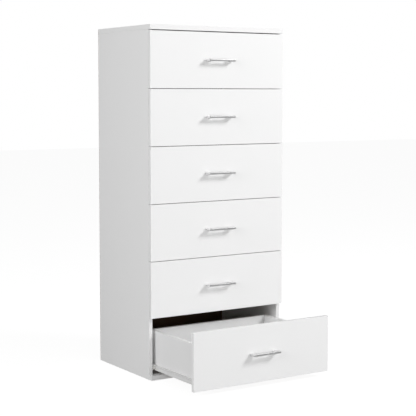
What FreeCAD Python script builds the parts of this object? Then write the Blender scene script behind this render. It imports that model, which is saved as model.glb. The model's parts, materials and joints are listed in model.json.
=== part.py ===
import FreeCAD, Part
import os
import re

import Sketcher

# Tall chest of six drawers, in millimetres.
#
# The frame stands on the floor: the origin is the centre of the cabinet's footprint, +Z is up,
# the drawer fronts face -Y and the drawers slide along -Y. X runs from the chest's left (-X) to
# its right. The bottom drawer is stored pulled open, the other five are stored closed.

document = FreeCAD.newDocument("TallChestOfDrawers")

# ----------------------------------------------------------------------------- driving sizes

SIZES = (
    ("overall_width", 500, "outside width of the cabinet"),
    ("overall_depth", 342, "from the face of the fronts to the back"),
    ("overall_height", 1100, "floor to the upper face of the top panel"),
    ("panel_thickness", 15, "top and bottom panels"),
    ("side_thickness", 12, "side panels of the cabinet"),
    ("back_thickness", 3, "hardboard back"),
    ("back_margin", 1, "how far the hardboard back stays inside the outline"),
    ("drawer_count", 6, "drawers, counted from the top"),
    ("front_thickness", 12, "drawer fronts"),
    ("front_height", 176, "height of one drawer front"),
    ("front_gap", 1.8, "gap between one front and the next"),
    ("bottom_gap", 2, "gap between the lowest front and the bottom panel"),
    ("front_standoff", 1.5, "gap between a closed front and the side panels"),
    ("open_distance", 246, "how far the bottom drawer is stored pulled out"),
    ("box_thickness", 12, "boards of the drawer box"),
    ("box_length", 292, "length of the drawer sides, behind the front"),
    ("box_height", 123, "height of the drawer sides"),
    ("box_lift", 11, "lower edge of the drawer sides above the front's lower edge"),
    ("bottom_thickness", 3, "hardboard drawer bottom"),
    ("bottom_lift", 10, "drawer bottom above the lower edge of the sides"),
    ("groove_depth", 5, "depth of the grooves that hold the drawer bottom"),
    ("groove_play", 0.2, "how much wider a groove is than the board in it"),
    ("slide_space", 12.5, "space between a cabinet side and a drawer side, for the runner"),
    ("steel", 1.2, "thickness of the runners' steel"),
    ("runner_length", 300, "length of both runner members"),
    ("drawer_runner_height", 19.2, "height of the drawer member"),
    ("drawer_runner_rail", 10.5, "width of the drawer member's upper rail"),
    ("drawer_runner_foot", 11.2, "width of the flange under the drawer side"),
    ("drawer_runner_set_back", 1, "drawer member behind the front"),
    ("cabinet_runner_height", 22.1, "height of the cabinet member"),
    ("cabinet_runner_flange", 10, "width of the cabinet member's lower flange"),
    ("cabinet_runner_lip", 9, "width of the cabinet member's upper lip"),
    ("cabinet_runner_set_back", 1, "cabinet member behind the side panel's front edge"),
    ("lip_opening", 26, "length of web at the front with neither flange nor lip"),
    ("roller_radius", 8, "both rollers"),
    ("roller_width", 7.5, "both rollers"),
    ("roller_play", 0.1, "gap between a roller and the rail it carries"),
    ("roller_inset", 1.6, "roller to the cabinet member's web, sideways"),
    ("axle_radius", 2.5, "riveted axle of a roller"),
    ("axle_play", 0.08, "radial clearance of a roller on its axle"),
    ("axle_head_radius", 4, "rivet head that keeps a roller on"),
    ("axle_head_thickness", 0.5, "rivet head"),
    ("axle_head_gap", 0.1, "gap between a roller and its rivet head"),
    ("rear_roller_drop", 0.5, "rear roller's centre below the front roller's"),
    ("rear_roller_inset", 9, "rear roller's centre from the drawer member's rear end"),
    ("front_roller_inset", 8.5, "front roller's centre from the cabinet member's front end"),
    ("handle_length", 100, "overall length of the handle"),
    ("handle_projection", 23, "handle's reach in front of the drawer front"),
    ("handle_bar_height", 5.6, "height of the handle's bar"),
    ("handle_bar_depth", 7, "front-to-back size of the handle's bar"),
    ("handle_leg_width", 18, "width of a handle leg"),
    ("handle_nose", 6, "flat underside of the bar, front to back"),
    ("handle_leg_drop", 4, "lowest point of a leg below the bar's middle"),
    ("handle_knee", 12.5, "that point in front of the drawer front"),
    ("handle_foot_drop", 3.6, "leg's lower edge at the drawer front, below the bar's middle"),
    ("handle_edge_radius", 1.2, "rounding of the bar's long edges"),
    ("handle_screw_spacing", 80, "distance between the handle's screws"),
    ("handle_screw_radius", 2, "machine screw"),
    ("handle_screw_reach", 8, "length of screw inside a handle leg"),
    ("handle_screw_space", 1, "empty bore beyond the tip of a handle screw"),
    ("screw_head_radius", 3.8, "pan heads"),
    ("screw_head_thickness", 2.2, "pan heads"),
    ("small_screw_radius", 1.6, "screws that hold the runners"),
    ("small_screw_length", 9, "screws that hold the runners, inside the board"),
    ("small_head_radius", 3.2, "countersunk heads"),
    ("corner_screw_radius", 2.4, "screws through the drawer sides into the drawer back"),
    ("corner_screw_length", 40, "screws through the drawer sides into the drawer back"),
    ("corner_head_radius", 4, "countersunk heads of those screws"),
    ("corner_head_thickness", 3, "countersunk heads of those screws"),
    ("cam_radius", 6, "cam locks of the drawer and the cabinet"),
    ("cam_depth", 9, "depth of a cam lock in its board"),
    ("cam_distance", 24, "centre of a cam lock from the end of its board"),
    ("bolt_radius", 2.5, "bolt pulled in by a cam lock"),
    ("bolt_bite", 8, "length of that bolt inside the other board"),
    ("dowel_radius", 3, "wooden dowels"),
    ("dowel_half", 10, "length of a dowel in either board"),
    ("nail_radius", 0.8, "nails of the back panel"),
    ("nail_length", 18, "nails of the back panel"),
    ("nail_head_radius", 2.6, "nails of the back panel"),
    ("nail_head_thickness", 0.6, "nails of the back panel"),
    ("nail_columns", 4, "nails along the top and the bottom panel"),
    ("nail_rows", 8, "nails along each side panel"),
    ("cabinet_cam_row", 75, "cam locks of a side panel from its front and rear edges"),
    ("cabinet_dowel_row", 105, "dowels of a side panel from its front and rear edges"),
    ("runner_screw_front", 45, "first screw of a cabinet member from its front end"),
    ("runner_screw_rear", 270, "second screw of a cabinet member from its front end"),
    ("runner_screw_lift", 10, "those screws above the member's track"),
    ("lower_cam_lift", 35, "lower cam lock above the lower edge of a drawer side"),
    ("upper_cam_lift", 95, "upper cam lock above the lower edge of a drawer side"),
    ("lower_corner_lift", 30, "lower corner screw above the lower edge of a drawer side"),
    ("upper_corner_lift", 100, "upper corner screw above the lower edge of a drawer side"),
    ("foot_screw_front", 60, "first screw under a drawer side, behind the front"),
    ("foot_screw_rear", 250, "second screw under a drawer side, behind the front"),
    ("handle_screw_drop", 0.5, "handle screws below the middle of the bar"),
    ("handle_hole_play", 0.25, "radial play of the handle screws in the front"),
    ("roller_rim", 2, "thickness of a roller's hub and of its rim"),
    ("roller_recess", 1, "depth of the ring-shaped recess in a roller's faces"),
    ("roller_crown", 0.6, "bevel of a roller's running face"),
    ("play", 0.05, "radial clearance of a fastener in its hole"),
    ("overcut", 1, "how far a cutting piece passes the face it cuts"),
)
VALUES = {alias: value for alias, value, note in SIZES}
DRAWERS = range(1, VALUES["drawer_count"] + 1)

sheet = document.addObject("Spreadsheet::Sheet", "Sizes")
for row, (alias, value, note) in enumerate(SIZES, start=1):
    sheet.set(f"A{row}", alias)
    sheet.set(f"B{row}", str(value))
    sheet.set(f"C{row}", note)
    sheet.setAlias(f"B{row}", alias)
document.recompute()

# Planes that several pieces share, as expressions of the driving sizes.
FRONT = "(-overall_depth / 2)"
REAR = "(overall_depth / 2 - back_thickness)"
SIDE_FRONT = f"({FRONT} + front_thickness + front_standoff)"
SIDE_FACE = "(overall_width / 2 - side_thickness)"
BOX_SIDE = f"({SIDE_FACE} - slide_space)"
BOX_INSIDE = f"({BOX_SIDE} - box_thickness)"
BOX_FRONT = "front_thickness"
BOX_REAR = "(front_thickness + box_length)"
BOX_TOP = "(box_lift + box_height)"
GROOVE_FLOOR = "(box_lift + bottom_lift)"
RAIL_TOP = "(box_lift - steel + drawer_runner_height)"
FRONT_ROLLER_Z = "(box_lift - 2 * steel + drawer_runner_height - roller_play - roller_radius)"
REAR_ROLLER_Z = f"({FRONT_ROLLER_Z} - rear_roller_drop)"
TRACK_TOP = f"({REAR_ROLLER_Z} - roller_radius - roller_play)"
CABINET_RUNNER_FRONT = "(front_thickness + front_standoff + cabinet_runner_set_back)"
DRAWER_RUNNER_FRONT = "(front_thickness + drawer_runner_set_back)"
FRONT_ROLLER_Y = f"({CABINET_RUNNER_FRONT} + front_roller_inset)"
REAR_ROLLER_Y = f"({DRAWER_RUNNER_FRONT} + runner_length - rear_roller_inset)"
ROLLER_OUTSIDE = f"({SIDE_FACE} - steel - roller_inset)"

subparts = []

# ----------------------------------------------------------------------------- small helpers


def sized(expression):
    """Turn the sheet's plain words in an expression into references to its cells."""
    return re.sub(
        r"[a-z][a-z_]*",
        lambda word: "Sizes." + word[0] if word[0] in VALUES else word[0],
        str(expression),
    )


probe = document.addObject("App::FeaturePython", "Probe")
probe.addProperty("App::PropertyFloat", "Reading")


def value_of(expression):
    """The number, in millimetres, that an expression of the sheet's words has now."""
    probe.setExpression("Reading", sized(expression))
    probe.recompute()
    return probe.Reading


def bind(piece, **properties):
    """Bind properties of a feature to expressions of the sheet's words."""
    for name, expression in properties.items():
        piece.setExpression(name, sized(expression))
    return piece


def place(piece, x, y, z):
    """Bind a feature's position."""
    piece.setExpression(".Placement.Base.x", sized(x))
    piece.setExpression(".Placement.Base.y", sized(y))
    piece.setExpression(".Placement.Base.z", sized(z))
    return piece


def block(name, length, width, height, x, y, z):
    """A board or bar with its lowest corner at x, y, z."""
    piece = document.addObject("Part::Box", name)
    bind(piece, Length=length, Width=width, Height=height)
    return place(piece, x, y, z)


def turned(piece, direction):
    """Turn a round feature so that its axis runs along direction."""
    rotation = FreeCAD.Rotation(FreeCAD.Vector(0, 0, 1), FreeCAD.Vector(*direction))
    piece.Placement = FreeCAD.Placement(FreeCAD.Vector(0, 0, 0), rotation)
    return piece


def rod(name, radius, length, x, y, z, direction):
    """A round bar that starts at x, y, z and runs along direction."""
    piece = turned(document.addObject("Part::Cylinder", name), direction)
    bind(piece, Radius=radius, Height=length)
    return place(piece, x, y, z)


def taper(name, start_radius, end_radius, length, x, y, z, direction):
    """A cone that starts at x, y, z and runs along direction."""
    piece = turned(document.addObject("Part::Cone", name), direction)
    bind(piece, Radius1=start_radius, Radius2=end_radius, Height=length)
    return place(piece, x, y, z)


def joined(name, pieces):
    """One solid from pieces that touch or overlap."""
    piece = document.addObject("Part::MultiFuse", name)
    piece.Shapes = pieces
    return piece


def together(name, pieces):
    """A group of separate solids."""
    piece = document.addObject("Part::Compound", name)
    piece.Links = pieces
    return piece


def minus(name, base, tools):
    """A base with the tools cut away from it."""
    piece = document.addObject("Part::Cut", name)
    piece.Base = base
    piece.Tool = tools[0] if len(tools) == 1 else together(name + "_tools", tools)
    return piece


def subpart(name, piece, x="0", y="0", z="0"):
    """Give a finished piece its name and place, and note it for export."""
    piece.Label = name
    place(piece, x, y, z)
    subparts.append(piece)
    return piece


# The two sides of the chest: a word for names, and the sign of X.
SIDES = (("left", -1), ("right", 1))


def from_plane(sign, plane, length, inward=False):
    """X of the low corner of a piece that starts at plane and runs outward, or inward."""
    runs_positive = (sign > 0) != inward
    start = f"{sign} * {plane}"
    return start if runs_positive else f"{start} - {length}"


# ----------------------------------------------------------------------------- fasteners


def countersunk_screw(name, radius, length, head_radius, head_thickness, x, y, z, direction):
    """A screw whose flat head lies flush at x, y, z and whose shank runs along direction."""
    shank = rod(name + "_shank", radius, length, x, y, z, direction)
    head = taper(name + "_head", head_radius, radius, head_thickness, x, y, z, direction)
    return joined(name, [shank, head])


def countersunk_hole(name, radius, length, head_radius, head_thickness, x, y, z, direction):
    """The hole that such a screw fits."""
    return countersunk_screw(
        name, f"{radius} + play", f"{length} + play", f"{head_radius} + play",
        f"{head_thickness} + play", x, y, z, direction,
    )


CORNER_SCREW = (
    "corner_screw_radius", "corner_screw_length", "corner_head_radius", "corner_head_thickness",
)
RUNNER_SCREW = ("small_screw_radius", "steel + small_screw_length", "small_head_radius", "steel")

# ----------------------------------------------------------------------------- cabinet boards

CAM_ROWS = (
    ("front", f"({SIDE_FRONT} + cabinet_cam_row)"),
    ("rear", f"({REAR} - cabinet_cam_row)"),
)
DOWEL_ROWS = (
    ("front", f"({SIDE_FRONT} + cabinet_dowel_row)"),
    ("rear", f"({REAR} - cabinet_dowel_row)"),
)
SIDE_MIDDLE = "(overall_width / 2 - side_thickness / 2)"
INSIDE_TOP = "(overall_height - panel_thickness)"
PANEL_ENDS = (("lower", "panel_thickness", 1), ("upper", INSIDE_TOP, -1))
RUNNER_SCREW_ROWS = ("runner_screw_front", "runner_screw_rear")


def drawer_level(number):
    """Height of the lower edge of a drawer front; drawer 1 is the top one."""
    steps_up = f"(drawer_count - {number})"
    return f"(panel_thickness + bottom_gap + {steps_up} * (front_height + front_gap))"


def cabinet_cam(name, sign, y, end, up, extra="0"):
    """A cam lock in the inner face of a side panel, near its upper or lower end."""
    z = f"{end} + {up} * cam_distance"
    x = f"{sign} * {SIDE_FACE}"
    return rod(name, f"cam_radius + {extra}", f"cam_depth + {extra}", x, y, z, (sign, 0, 0))


def cabinet_bolt(name, sign, y, end, up, extra="0"):
    """The bolt that stands in the top or bottom panel and ends at its cam lock."""
    length = f"bolt_bite + cam_distance - cam_radius + {extra}"
    z = f"{end} - {up} * (bolt_bite + {extra})"
    return rod(name, f"bolt_radius + {extra}", length, f"{sign} * {SIDE_MIDDLE}", y, z, (0, 0, up))


def cabinet_dowel(name, sign, y, end, up, extra="0"):
    """A wooden dowel between a side panel and the top or bottom panel."""
    length = f"2 * dowel_half + 2 * {extra}"
    z = f"{end} - {up} * (dowel_half + {extra})"
    return rod(name, f"dowel_radius + {extra}", length, f"{sign} * {SIDE_MIDDLE}", y, z, (0, 0, up))


def cabinet_joints(name, make, rows, sides=SIDES, ends=PANEL_ENDS, extra="0"):
    """One fitting at each row of the chosen sides and ends."""
    return [
        make(f"{name}_{side}_{end_name}_{row}", sign, y, end, up, extra)
        for side, sign in sides
        for end_name, end, up in ends
        for row, y in rows
    ]


def cabinet_runner_screws(name, side, sign, hole=False):
    """The screws of one side's six cabinet members, or their pilot holes."""
    make = countersunk_hole if hole else countersunk_screw
    screws = []
    for number in DRAWERS:
        for row, along in enumerate(RUNNER_SCREW_ROWS, start=1):
            x = f"{sign} * ({SIDE_FACE} - steel)"
            y = f"{FRONT} + {CABINET_RUNNER_FRONT} + {along}"
            z = f"{drawer_level(number)} + {TRACK_TOP} + runner_screw_lift"
            screw = make(f"{name}_{side}_{number}_{row}", *RUNNER_SCREW, x, y, z, (sign, 0, 0))
            screws.append(screw)
    return screws


def nail_places():
    """Positions of the back panel's nails along the rear edges of the four boards."""
    across = "(overall_width - side_thickness)"
    up = "(overall_height - panel_thickness)"
    for column in range(VALUES["nail_columns"]):
        x = f"(-{across} / 2 + {across} * {column} / (nail_columns - 1))"
        for z in ("(panel_thickness / 2)", "(overall_height - panel_thickness / 2)"):
            yield x, z
    for row in range(1, VALUES["nail_rows"] + 1):
        z = f"(panel_thickness / 2 + {up} * {row} / (nail_rows + 1))"
        for sign in (-1, 1):
            yield f"({sign} * {SIDE_MIDDLE})", z


def nails(name, extra="0"):
    """The nails of the back panel, or the holes they fill."""
    made = []
    for count, (x, z) in enumerate(nail_places(), start=1):
        y = "overall_depth / 2"
        shank = rod(
            f"{name}_shank_{count}", f"nail_radius + {extra}", f"nail_length + {extra}",
            x, y, z, (0, -1, 0),
        )
        if extra != "0":
            made.append(shank)
            continue
        head = rod(
            f"{name}_head_{count}", "nail_head_radius", "nail_head_thickness",
            x, y, z, (0, 1, 0),
        )
        made.append(joined(f"{name}_{count}", [shank, head]))
    return made


def cabinet_panel(name, end_name, z):
    """Top or bottom panel: a full-size board with bores for bolts and dowels."""
    board = block(
        name + "_board", "overall_width", "overall_depth - back_thickness", "panel_thickness",
        "-overall_width / 2", FRONT, z,
    )
    ends = [entry for entry in PANEL_ENDS if entry[0] == end_name]
    bores = cabinet_joints(name + "_bolt_bore", cabinet_bolt, CAM_ROWS, ends=ends, extra="play")
    bores += cabinet_joints(
        name + "_dowel_bore", cabinet_dowel, DOWEL_ROWS, ends=ends, extra="play"
    )
    bores.append(together(name + "_nail_bores", nails(name + "_nail_bore", "play")))
    subpart(name, minus(name + "_cut", board, bores))


def side_panel(name, side, sign):
    """A side panel between the top and the bottom panel, with its cam pockets and bores."""
    board = block(
        name + "_board", "side_thickness", f"{REAR} - {SIDE_FRONT}",
        "overall_height - 2 * panel_thickness",
        from_plane(sign, SIDE_FACE, "side_thickness"), SIDE_FRONT, "panel_thickness",
    )
    own = [(side, sign)]
    bores = cabinet_joints(name + "_cam_pocket", cabinet_cam, CAM_ROWS, sides=own, extra="play")
    bores += cabinet_joints(name + "_bolt_bore", cabinet_bolt, CAM_ROWS, sides=own, extra="play")
    bores += cabinet_joints(
        name + "_dowel_bore", cabinet_dowel, DOWEL_ROWS, sides=own, extra="play"
    )
    bores += cabinet_runner_screws(name + "_pilot", side, sign, hole=True)
    bores.append(together(name + "_nail_bores", nails(name + "_nail_bore", "play")))
    subpart(name, minus(name + "_cut", board, bores))


def back_panel():
    """The hardboard back, nailed over the rear edges."""
    board = block(
        "back_board", "overall_width - 2 * back_margin", "back_thickness",
        "overall_height - 2 * back_margin",
        "-overall_width / 2 + back_margin", REAR, "back_margin",
    )
    subpart("back_panel", minus("back_cut", board, nails("back_nail_bore", "play")))


cabinet_panel("top_panel", "upper", INSIDE_TOP)
cabinet_panel("bottom_panel", "lower", "0")
for side_word, side_sign in SIDES:
    side_panel(f"{side_word}_side_panel", side_word, side_sign)
back_panel()

# ----------------------------------------------------------------------------- cabinet fittings


def cabinet_runner(name, sign, number):
    """One cabinet member: a steel channel with a lower track, a lip and a riveted axle."""
    y = f"{FRONT} + {CABINET_RUNNER_FRONT}"
    level = drawer_level(number)
    track = f"{level} + {TRACK_TOP} - steel"
    web = block(
        name + "_web", "steel", "runner_length", "cabinet_runner_height",
        from_plane(sign, SIDE_FACE, "steel", inward=True), y, track,
    )
    flange = block(
        name + "_flange", "cabinet_runner_flange", "runner_length - lip_opening", "steel",
        from_plane(sign, SIDE_FACE, "cabinet_runner_flange", inward=True),
        f"{y} + lip_opening", track,
    )
    lip = block(
        name + "_lip", "cabinet_runner_lip", "runner_length - lip_opening", "steel",
        from_plane(sign, SIDE_FACE, "cabinet_runner_lip", inward=True),
        f"{y} + lip_opening", f"{track} + cabinet_runner_height - steel",
    )
    axle_length = "steel + roller_inset + roller_width + axle_head_gap"
    axle_y = f"{FRONT} + {FRONT_ROLLER_Y}"
    axle_z = f"{level} + {FRONT_ROLLER_Z}"
    axle = rod(
        name + "_axle", "axle_radius", axle_length,
        f"{sign} * {SIDE_FACE}", axle_y, axle_z, (-sign, 0, 0),
    )
    head = rod(
        name + "_axle_head", "axle_head_radius", "axle_head_thickness",
        f"{sign} * ({SIDE_FACE} - ({axle_length}))", axle_y, axle_z, (-sign, 0, 0),
    )
    return joined(name + "_solid", [web, flange, lip, axle, head])


def cabinet_runners(side, sign):
    """The six cabinet members of one side, with the screw holes cut."""
    name = f"{side}_cabinet_runners"
    members = [cabinet_runner(f"{name}_{number}", sign, number) for number in DRAWERS]
    holes = cabinet_runner_screws(name + "_hole", side, sign, hole=True)
    subpart(name, minus(name + "_cut", together(name + "_members", members), holes))


for side_word, side_sign in SIDES:
    cabinet_runners(side_word, side_sign)

screws_in_cabinet = []
for side_word, side_sign in SIDES:
    screws_in_cabinet += cabinet_runner_screws("runner_screw", side_word, side_sign)
subpart("runner_screws", together("runner_screws_group", screws_in_cabinet))
subpart("cam_locks", together("cam_locks_group", cabinet_joints("cam", cabinet_cam, CAM_ROWS)))
subpart("cam_bolts", together("cam_bolts_group", cabinet_joints("bolt", cabinet_bolt, CAM_ROWS)))
subpart(
    "wooden_dowels",
    together("dowels_group", cabinet_joints("dowel", cabinet_dowel, DOWEL_ROWS)),
)
subpart("back_panel_nails", together("nails_group", nails("nail")))

# ----------------------------------------------------------------------------- sketched pieces

# Sketcher's own numbers for points and for a sketch's axes; its origin starts the first axis.
START, END, CENTRE = 1, 2, 3
ACROSS_AXIS, UP_AXIS = -1, -2
TOLERANCE = 1e-3


def origin_plane(body, role):
    """One of a body's own origin planes."""
    return next(feature for feature in body.Origin.OriginFeatures if feature.Role == role)


def sketch_on(body, name, role):
    """An empty sketch on one of the body's origin planes."""
    sketch = body.newObject("Sketcher::SketchObject", name)
    sketch.AttachmentSupport = [(origin_plane(body, role), "")]
    sketch.MapMode = "FlatFace"
    return sketch


def fix_point(sketch, geometry, end, x, y):
    """Hold one point of a sketch at expressions of the sheet's words."""
    for kind, expression, axis in (("DistanceX", x, UP_AXIS), ("DistanceY", y, ACROSS_AXIS)):
        number = value_of(expression)
        if abs(number) < TOLERANCE:
            sketch.addConstraint(Sketcher.Constraint("PointOnObject", geometry, end, axis))
            continue
        held = sketch.addConstraint(
            Sketcher.Constraint(kind, ACROSS_AXIS, START, geometry, end, number)
        )
        sketch.setExpression(f"Constraints[{held}]", sized(expression))


def outline(sketch, corners):
    """A closed outline of straight lines through corners given as pairs of expressions."""
    points = [FreeCAD.Vector(value_of(x), value_of(y), 0) for x, y in corners]
    lines = [
        sketch.addGeometry(Part.LineSegment(point, points[(index + 1) % len(points)]))
        for index, point in enumerate(points)
    ]
    for index, line in enumerate(lines):
        following = lines[(index + 1) % len(lines)]
        sketch.addConstraint(Sketcher.Constraint("Coincident", line, END, following, START))
    for line, (x, y) in zip(lines, corners):
        fix_point(sketch, line, START, x, y)


def circle(sketch, x, y, radius):
    """A circle at x, y."""
    centre = FreeCAD.Vector(value_of(x), value_of(y), 0)
    shape = Part.Circle(centre, FreeCAD.Vector(0, 0, 1), value_of(radius))
    ring = sketch.addGeometry(shape)
    fix_point(sketch, ring, CENTRE, x, y)
    held = sketch.addConstraint(Sketcher.Constraint("Radius", ring, value_of(radius)))
    sketch.setExpression(f"Constraints[{held}]", sized(radius))


def must_shrink(before, after, what):
    """A pocket that points the wrong way removes nothing: stop if it did."""
    if after >= before - TOLERANCE:
        raise RuntimeError(f"{what} removed nothing")


def long_edges(shape, length, keep):
    """Names of the edges along X, of the given length, whose middle keep(y, z) accepts."""
    names = []
    for index, edge in enumerate(shape.Edges, start=1):
        box = edge.BoundBox
        if abs(box.XLength - length) < TOLERANCE and keep(box.Center.y, box.Center.z):
            names.append(f"Edge{index}")
    return names


def handle_body(name):
    """Bridge handle: one side profile run along X, with the finger opening cut through it."""
    body = document.addObject("PartDesign::Body", name)
    profile = sketch_on(body, name + "_profile", "YZ_Plane")
    half_bar = "handle_bar_height / 2"
    outline(profile, (
        ("0", half_bar),
        ("-handle_projection", half_bar),
        ("-handle_projection", f"-{half_bar}"),
        ("-handle_projection + handle_nose", f"-{half_bar}"),
        ("-handle_knee", "-handle_leg_drop"),
        ("0", "-handle_foot_drop"),
    ))
    pad = body.newObject("PartDesign::Pad", name + "_pad")
    pad.Profile = profile
    pad.SideType = "Symmetric"
    bind(pad, Length="handle_length")
    document.recompute()

    rounded = body.newObject("PartDesign::Fillet", name + "_rounding")
    edges = long_edges(pad.Shape, VALUES["handle_length"], lambda y, z: y < -TOLERANCE)
    rounded.Base = (pad, edges)
    bind(rounded, Radius="handle_edge_radius")
    document.recompute()

    window = sketch_on(body, name + "_window", "XY_Plane")
    reach = "handle_length / 2 - handle_leg_width"
    behind_bar = "-handle_projection + handle_bar_depth"
    outline(window, (
        (f"-({reach})", "overcut"), (f"-({reach})", behind_bar),
        (reach, behind_bar), (reach, "overcut"),
    ))
    opening = body.newObject("PartDesign::Pocket", name + "_opening")
    opening.Profile = window
    opening.Type = "ThroughAll"
    opening.SideType = "Symmetric"
    document.recompute()
    must_shrink(rounded.Shape.Volume, opening.Shape.Volume, name + " opening")

    drilling = sketch_on(body, name + "_drilling", "XZ_Plane")
    for sign in (-1, 1):
        circle(
            drilling, f"{sign} * handle_screw_spacing / 2", "-handle_screw_drop",
            "handle_screw_radius + play",
        )
    holes = body.newObject("PartDesign::Pocket", name + "_holes")
    holes.Profile = drilling
    bind(holes, Length="handle_screw_reach + handle_screw_space")
    document.recompute()
    if holes.Shape.Volume >= opening.Shape.Volume - TOLERANCE:
        holes.Reversed = True
        document.recompute()
    must_shrink(opening.Shape.Volume, holes.Shape.Volume, name + " screw holes")
    return body


def roller_body(name):
    """A nylon roller turned about X: hub, thin web and tyre, with the bore for its axle."""
    body = document.addObject("PartDesign::Body", name)
    profile = sketch_on(body, name + "_profile", "XZ_Plane")
    bore = "axle_radius + axle_play"
    hub = "axle_radius + roller_rim"
    rim = "roller_radius - roller_rim"
    near = "roller_recess"
    far = "roller_width - roller_recess"
    shoulder = "roller_radius - roller_crown"
    outline(profile, (
        ("0", bore), ("0", hub), (near, hub), (near, rim), ("0", rim), ("0", shoulder),
        ("roller_crown", "roller_radius"), ("roller_width - roller_crown", "roller_radius"),
        ("roller_width", shoulder), ("roller_width", rim), (far, rim), (far, hub),
        ("roller_width", hub), ("roller_width", bore),
    ))
    turn = body.newObject("PartDesign::Revolution", name + "_turn")
    turn.Profile = profile
    turn.ReferenceAxis = (profile, ["H_Axis"])
    turn.Angle = 360
    document.recompute()
    return body


# ----------------------------------------------------------------------------- drawers


def drawer_front(number):
    """An overlay front with its bottom groove, screw holes and bolt bores."""
    name = f"drawer_{number}_front"
    board = block(
        name + "_board", "overall_width", "front_thickness", "front_height",
        "-overall_width / 2", "0", "0",
    )
    groove = block(
        name + "_groove", f"2 * ({BOX_INSIDE} + groove_depth)", "groove_depth + overcut",
        "bottom_thickness + groove_play",
        f"-({BOX_INSIDE} + groove_depth)", "front_thickness - groove_depth",
        f"{GROOVE_FLOOR} - groove_play / 2",
    )
    cuts = [groove]
    for side, sign in SIDES:
        cuts.append(rod(
            f"{name}_{side}_screw_hole", "handle_screw_radius + handle_hole_play",
            "front_thickness", f"{sign} * handle_screw_spacing / 2", "0", HANDLE_SCREW_Z, (0, 1, 0),
        ))
    cuts += drawer_bolts(name + "_bolt_bore", "play")
    return minus(name, board, cuts)


BOLT_ROWS = (("lower", "(box_lift + lower_cam_lift)"), ("upper", "(box_lift + upper_cam_lift)"))
CORNER_ROWS = (
    ("lower", "(box_lift + lower_corner_lift)"),
    ("upper", "(box_lift + upper_corner_lift)"),
)
FOOT_SCREW_ROWS = (("front", "foot_screw_front"), ("rear", "foot_screw_rear"))
HANDLE_SCREW_Z = "(front_height / 2 - handle_screw_drop)"


def drawer_bolts(name, extra="0"):
    """The bolts that pull the front against the drawer sides."""
    length = f"bolt_bite + cam_distance - cam_radius + {extra}"
    return [
        rod(
            f"{name}_{side}_{row}", f"bolt_radius + {extra}", length,
            f"{sign} * ({BOX_SIDE} - box_thickness / 2)",
            f"front_thickness - bolt_bite - {extra}", z, (0, 1, 0),
        )
        for side, sign in SIDES
        for row, z in BOLT_ROWS
    ]


def drawer_cams(name, extra="0"):
    """The cam locks in the inner faces of the drawer sides."""
    return [
        rod(
            f"{name}_{side}_{row}", f"cam_radius + {extra}", f"cam_depth + {extra}",
            f"{sign} * {BOX_INSIDE}", "front_thickness + cam_distance", z, (sign, 0, 0),
        )
        for side, sign in SIDES
        for row, z in BOLT_ROWS
    ]


def corner_screws(name, hole=False):
    """The screws through the drawer sides into the drawer back."""
    make = countersunk_hole if hole else countersunk_screw
    return [
        make(
            f"{name}_{side}_{row}", *CORNER_SCREW,
            f"{sign} * {BOX_SIDE}", f"{BOX_REAR} - box_thickness / 2", z, (-sign, 0, 0),
        )
        for side, sign in SIDES
        for row, z in CORNER_ROWS
    ]


def foot_screws(name, hole=False):
    """The screws up through the drawer members into the drawer sides."""
    make = countersunk_hole if hole else countersunk_screw
    return [
        make(
            f"{name}_{side}_{row}", *RUNNER_SCREW,
            f"{sign} * ({BOX_SIDE} - box_thickness / 2)", f"front_thickness + {along}",
            "box_lift - steel", (0, 0, 1),
        )
        for side, sign in SIDES
        for row, along in FOOT_SCREW_ROWS
    ]


def bottom_groove(name, x, y, length, width):
    """The groove that a drawer bottom sits in."""
    height = "bottom_thickness + groove_play"
    return block(name, length, width, height, x, y, f"{GROOVE_FLOOR} - groove_play / 2")


def drawer_sides(number):
    """The two side boards of a drawer box."""
    name = f"drawer_{number}_sides"
    boards = []
    for side, sign in SIDES:
        board = block(
            f"{name}_{side}_board", "box_thickness", "box_length", "box_height",
            from_plane(sign, BOX_INSIDE, "box_thickness"), BOX_FRONT, "box_lift",
        )
        groove = bottom_groove(
            f"{name}_{side}_groove", from_plane(sign, BOX_INSIDE, "groove_depth"), BOX_FRONT,
            "groove_depth", "box_length",
        )
        boards.append(minus(f"{name}_{side}", board, [groove]))
    cuts = drawer_bolts(name + "_bolt_bore", "play") + drawer_cams(name + "_cam_pocket", "play")
    cuts += corner_screws(name + "_corner_bore", hole=True)
    cuts += foot_screws(name + "_foot_bore", hole=True)
    return minus(name, together(name + "_boards", boards), cuts)


def drawer_back(number):
    """The back board of a drawer box, between the sides."""
    name = f"drawer_{number}_back"
    board = block(
        name + "_board", f"2 * {BOX_INSIDE}", "box_thickness", "box_height",
        f"-{BOX_INSIDE}", f"{BOX_REAR} - box_thickness", "box_lift",
    )
    groove = bottom_groove(
        name + "_groove", f"-{BOX_INSIDE}", f"{BOX_REAR} - box_thickness",
        f"2 * {BOX_INSIDE}", "groove_depth",
    )
    return minus(name, board, [groove] + corner_screws(name + "_bore", hole=True))


def drawer_bottom(number):
    """The hardboard bottom, held in grooves on all four sides."""
    name = f"drawer_{number}_bottom"
    reach = f"({BOX_INSIDE} + groove_depth - groove_play)"
    start = "(front_thickness - groove_depth + groove_play)"
    length = "(box_length - box_thickness + 2 * groove_depth - 2 * groove_play)"
    board = block(
        name + "_board", f"2 * {reach}", length, "bottom_thickness",
        f"-{reach}", start, GROOVE_FLOOR,
    )
    return together(name, [board])


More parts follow.
